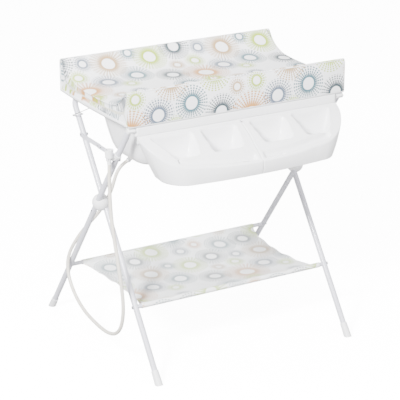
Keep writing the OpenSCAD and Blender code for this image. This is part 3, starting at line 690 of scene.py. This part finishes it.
def tub_mesh(name):
    """Rings from the band's lower edge to the floor. The band is 30 mm deep along the front
    and 10 mm elsewhere; the rim's rear edge is notched where the mat's saddles sit."""
    rings = []
    def outer(inset, drop, share):
        """One ring of the rim: inset and drop in mm, and its share of the band's depth."""
        p = rounded(RIM_HALF - inset, RIM_FRONT + inset, RIM_REAR - inset, 11, 9)
        front = ease((-222 - p[:, 1]) / 12)
        notch = np.exp(-((np.abs(p[:, 0]) - SADDLE_X) / 15.5) ** 8) * (p[:, 1] > 190)
        y = np.where(notch > 0.02, np.minimum(p[:, 1], RIM_REAR - 9.5 * notch - inset), p[:, 1])
        z = RIM_TOP - drop - share * (6 + 20.5 * front)
        rings.append(np.c_[p[:, 0], y, z])
    for inset, drop, share in ((0.8, 3.6, 1), (0, 3.2, 0.9), (0, 3.2, 0.5), (0, 3.2, 0.1),
                               (0.35, 1.6, 0), (1.3, 0.5, 0), (3.0, 0, 0), (6.0, 0, 0)):
        outer(inset, drop, share)
    # how far in from the rim's edge, how much wider again, and how far down: millimetres
    levels = [(0, -4.5, 0), (2.5, -2.0, 0.4), (4.2, 0.5, 2.2), (5.6, 0, 7), (9, 0, 22),
              (15, 0, 48), (21, 0, 74), (28, 0, 100), (34, 0, 120), (41, 0, 135), (51, 0, 147),
              (65, 0, 155), (84, 0, 158.8), (110, 0, 159.8)]
    for inset, grow, down in levels:
        i = inset - grow
        p = rounded(361 - i, -225 + i, 149 - i, max(62 - i * 0.4, 24), max(180 - i * 0.72, 30))
        rings.append(np.c_[p, np.full(len(p), RIM_TOP - down)])
    middle = np.array([0, -38.0, TUB_FLOOR - 0.4])
    last = rings[-1]
    for s in (0.7, 0.4, 0.12):
        rings.append(middle + (last - middle) * (s, s, 1))
    n = len(last)
    points = np.vstack(rings + [middle[None]])
    faces = grid_faces(len(rings), n, close_cols=True).tolist()
    k = np.arange(n)
    first = (len(rings) - 1) * n
    faces += np.c_[first + k, first + (k + 1) % n, np.full(n, len(points) - 1)].tolist()
    obj = mesh_object(name, points * MM, faces)
    return wall(obj, 2.6)

tub = tub_mesh("tub_shell")
weld(tub, 1e-6)
give(tub, tub_plastic)
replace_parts(tub, "tub")
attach(tub, "tub_set")

# %% [markdown]
# ## Storage trays
# Each tray is one height map over its plan: the top slopes to the front, two pockets are
# scooped out of it, and a trough runs along the front with slots through it. The rows follow
# the front edge, so the slots are simply faces left out. Wall thickness comes from Solidify.

# %% Storage trays
SLOPE = np.array([(-384, 690), (-377, 693), (-355, 710), (-333, 726), (-306, 748),
                  (-272, 768), (-250, 778.6), (-240.5, 785)], float)
TRAY_BACK, TRAY_FRONT, TRAY_SIDE = -240.8, -384.0, 365.0
TRAY_JOINT, TRAY_CORNER, TRAY_BOW, TRAY_FOOT = 1.0, 212, 17, 645.5
# each pocket's x range at its rear and at its front, and the x ranges of a trough's slots
POCKETS, POCKET_FLOOR = (((24, 153), (38, 148)), ((180, 333), (194, 283))), 699
SLOTS = ((34, 62), (80, 92))

def top_height(y):
    """The height of a tray's sloping top at y."""
    return np.interp(y, SLOPE[:, 0], SLOPE[:, 1])

def front_edge(x):
    """The tray's front edge, y from x: a gentle bow, then one big elliptic corner."""
    bow = TRAY_FRONT + TRAY_BOW * np.clip(x / TRAY_CORNER, 0, 1) ** 2
    c = np.clip((x - TRAY_CORNER) / (TRAY_SIDE - TRAY_CORNER), 0, 1)
    corner = TRAY_BACK - (TRAY_BACK - TRAY_FRONT - TRAY_BOW) * np.sqrt(1 - c * c)
    return np.where(x < TRAY_CORNER, bow, corner)

def soft_min(*d, k=6.0):
    """The smallest of several distances, rounded off where two are nearly equal."""
    return -k * np.log(sum(np.exp(-np.clip(v, -200, 200) / k) for v in d))

def scoop(x, y, rear, front, y_rear=-251.0, y_front=-334.0):
    """How far inside a pocket a point lies; rear and front are the pocket's x ranges there."""
    f = np.clip((y_rear - y) / (y_rear - y_front), -0.3, 1.3)
    a = rear[0] + (front[0] - rear[0]) * f
    b = rear[1] + (front[1] - rear[1]) * f
    return soft_min(x - a, b - x, y_rear - y, y - y_front)

def tray_plan():
    """Points x, y over a tray's top. Rows follow the front edge and crowd together near it;
    columns run from the joint to the side, as the sine of a quarter turn."""
    x = TRAY_JOINT + (TRAY_SIDE - TRAY_JOINT) * np.sin(np.linspace(0, 1, 150) * math.pi / 2)
    edge = front_edge(x)
    squeeze = np.clip((TRAY_BACK - edge) / 60, 0.0, 1.0)
    near = np.array([34, 31.5, 30, 28.5, 27, 25, 22, 18.5, 15, 13, 11, 9.5, 8, 6.8, 5, 3, 1.4, 0])
    rows = [np.stack([x, TRAY_BACK + (edge + 34 * squeeze - TRAY_BACK) * s], -1)
            for s in np.linspace(0, 1, 56)[:-1]]
    rows += [np.stack([x, edge + d * squeeze], -1) for d in near]
    return np.array(rows)

def tray_top(plan):
    """The top over that plan: the slope, less the pockets and the trough, plus a thin bead
    round each pocket and along the joint."""
    X, Y = plan[..., 0], plan[..., 1]
    Z = top_height(Y)
    for rear, front in POCKETS:
        d = scoop(X, Y, rear, front)
        t = np.clip(d / 36, 0, 1)
        depth = np.maximum(Z - POCKET_FLOOR, 0) * (1 - (1 - t) ** 2.6)
        Z = Z - depth + 0.8 * np.exp(-(d / 2.2) ** 2)
    Z = Z + 1.3 * np.exp(-((X - 3.5) / 2.2) ** 2)
    edge = front_edge(X)
    ledge = soft_min(X - 14, 278 - X, Y - (edge + 6.5), edge + 30 - Y, k=2.0)
    return np.stack([X, Y, Z - 12.5 * ease(ledge / 4.5)], -1)

# %% [markdown]
# The skirt is a ruled surface between two outlines, the front edge and a smaller one at the
# tray's foot, with a slight bulge. An extrusion with a taper would give the same wall, but
# its foot would follow the same corner as its top, and here it doesn't.

# %% Tray skirt and wall
def tray_foot():
    """The foot's outline, x and y: a slight bow, an elliptic corner and a short side."""
    corner = np.linspace(0, math.pi / 2, 24)[1:]
    return even(np.vstack([[(1.0 + 231 * s, -380 + 14 * s * s) for s in np.linspace(0, 1, 30)],
                           np.c_[232 + 75 * np.sin(corner), -286 - 80 * np.cos(corner)],
                           [(306 - 4 * s, -286 + 45 * s) for s in np.linspace(0.1, 1, 8)]]), 400)

def tray_skirt(edge):
    """Rows from the front edge down to the foot. A row at share w of the way stands out by
    3 mm times the sine of half a turn times w, and the first ones round the edge off."""
    foot = tray_foot()
    run = np.r_[0, np.cumsum(np.linalg.norm(np.diff(edge[:, :2], axis=0), axis=1))]
    base = np.stack([np.interp(run / run[-1], np.linspace(0, 1, len(foot)), foot[:, k])
                     for k in (0, 1)] + [np.full(len(edge), TRAY_FOOT)], -1)
    out = np.gradient(edge[:, :2], axis=0)
    out = np.c_[out[:, 1], -out[:, 0], np.zeros(len(edge))]
    out /= np.maximum(np.linalg.norm(out, axis=1), 1e-6)[:, None]
    return [edge + (base - edge) * w + out * (1.6 * math.sin(min(w * 14, 1) * math.pi / 2)
                                              + 3.0 * math.sin(math.pi * w))
            for w in (0.02, 0.05, 0.1, 0.2, 0.35, 0.5, 0.65, 0.8, 0.92, 0.97, 1.0)]

def joint_wall(surface):
    """Adds columns that turn in at the joint, which give the tray a wall of its own there."""
    ahead = np.gradient(surface[:, 0, 1:], axis=0)
    ahead /= np.maximum(np.linalg.norm(ahead, axis=1), 1e-6)[:, None]
    inward = np.c_[np.zeros(len(ahead)), -ahead[:, 1], ahead[:, 0]]
    columns = [surface[:, 0] + inward * d - (min(d, 0.7), 0, 0) for d in (16, 8, 3, 0.9)]
    return np.concatenate([np.array(columns).transpose(1, 0, 2), surface], 1)

def in_slot(centre):
    """True for faces, given by their centres, that lie in one of the trough's slots."""
    x = np.abs(centre[:, 0])
    gap = centre[:, 1] - front_edge(x)
    in_row = (gap > 14.5) & (gap < 19.5) & (centre[:, 2] > 670)
    return in_row & np.any([(x > a) & (x < b) for a, b in SLOTS], axis=0)

def tray_mesh(name, side):
    """One tray: its rows run from behind the band, over the top and down the skirt."""
    top = tray_top(tray_plan())
    back = [top[0] - (0, 0, d) + (0, min(d, 1.5), 0) for d in (26, 20, 10, 3)]
    surface = joint_wall(np.concatenate([back, top, tray_skirt(top[-1])]))
    surface[..., 0] *= side
    faces = grid_faces(*surface.shape[:2])
    faces = faces[~in_slot(surface.reshape(-1, 3)[faces].mean(1))]
    obj = mesh_object(name, surface.reshape(-1, 3) * MM, faces if side < 0 else faces[:, ::-1])
    weld(obj, 1e-5)
    facing = sum(f.normal.z * f.area for f in obj.data.polygons if f.center.z > 0.69)
    if facing < 0:
        obj.data.flip_normals()
    wall(obj, 2.2)
    give(obj, tub_plastic)
    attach(obj, "tub_set")
    return obj

for name, side in (("left", -1), ("right", 1)):
    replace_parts(tray_mesh("tray_shell_" + name, side), "tray_" + name)

# %% [markdown]
# ## Hooks over the leg ends
# The tub rests on the outer legs' capped ends: a small moulded hood on each side of its rim.
# A box with a Bevel modifier is enough for a piece this small.

# %% Hooks over the leg ends
def hood(name, side):
    """A plate square to the leg with a short lip in front, in the leg's own directions."""
    tilt = math.atan2(372, 500)
    up = np.array([0, -math.sin(tilt), math.cos(tilt)])
    rear = np.array([0, math.cos(tilt), math.sin(tilt)])
    start = np.array([side * 384.0, 0, 500])
    plate, lip = ((-14.6, -11, 387.9), (10.6, 4, 390.7)), ((-14.6, -14, 378.4), (10.6, -11.4, 390.7))
    points, faces = [], []
    for low, high in (plate, lip):
        n = len(points)
        for a in (low[0], high[0]):
            for b in (low[1], high[1]):
                for c in (low[2], high[2]):
                    points.append(start + (side * a, 0, 0) + rear * b + up * c)
        faces += [[n + i for i in f] for f in ((0, 1, 3, 2), (4, 6, 7, 5), (0, 4, 5, 1),
                                               (2, 3, 7, 6), (0, 2, 6, 4), (1, 5, 7, 3))]
    obj = mesh_object(name, np.array(points) * MM, faces, smooth=False)
    weld(obj, 1e-7)
    bevel = obj.modifiers.new("bevel", "BEVEL")
    bevel.width, bevel.segments, bevel.limit_method = 1.1 * MM, 3, "ANGLE"
    apply_all(obj)
    give(obj, tub_plastic)
    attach(obj, "tub_set")

hood("tub_hood_left", -1)
hood("tub_hood_right", 1)

# %% [markdown]
# ## Floor, backdrop and light
# The table stands on plain white ground in soft light from the left. The floor glows, and its
# glow is kept off the table, or it would light it from below and wash the print out. A white
# sweep of paper would do the same in a real studio.

# %% Floor, backdrop and light
floor_shader = finish_of("floor", (0.95, 0.95, 0.955), 0.9, 3, 0.0002, shade=0.01)
floor_shader.set("Emission Color", (1.0, 1.0, 1.0, 1.0))
floor_shader.set("Emission Strength", 12.0)
floor = mesh_object("floor", [(-9, -9, -0.0006), (9, -9, -0.0006), (9, 9, -0.0006),
                              (-9, 9, -0.0006)], [(0, 1, 2, 3)], smooth=False)
floor.data.materials.append(floor_shader.mat)
floor.visible_diffuse = floor.visible_glossy = False

world = bpy.data.worlds.new("surround")
world.use_nodes = True
world.node_tree.nodes["Background"].inputs["Color"].default_value = (1.0, 1.0, 1.0, 1.0)
world.node_tree.nodes["Background"].inputs["Strength"].default_value = 1.35
bpy.context.scene.world = world

def lamp(name, place, target, size, watts):
    """A wide square lamp that looks at target."""
    data = bpy.data.lights.new(name, "AREA")
    data.size, data.energy = size, watts
    obj = bpy.data.objects.new(name, data)
    bpy.context.collection.objects.link(obj)
    obj.matrix_world = look_from(place, target)

lamp("key", (-3.2, -2.1, 3.0), (0, 0, 0.7), 0.8, 860)
lamp("fill", (1.6, -3.6, 2.2), (0, 0, 0.5), 2.4, 150)
lamp("top", (0.2, 0.8, 4.0), (0, 0.01, 0.5), 2.0, 110)
print("lit")
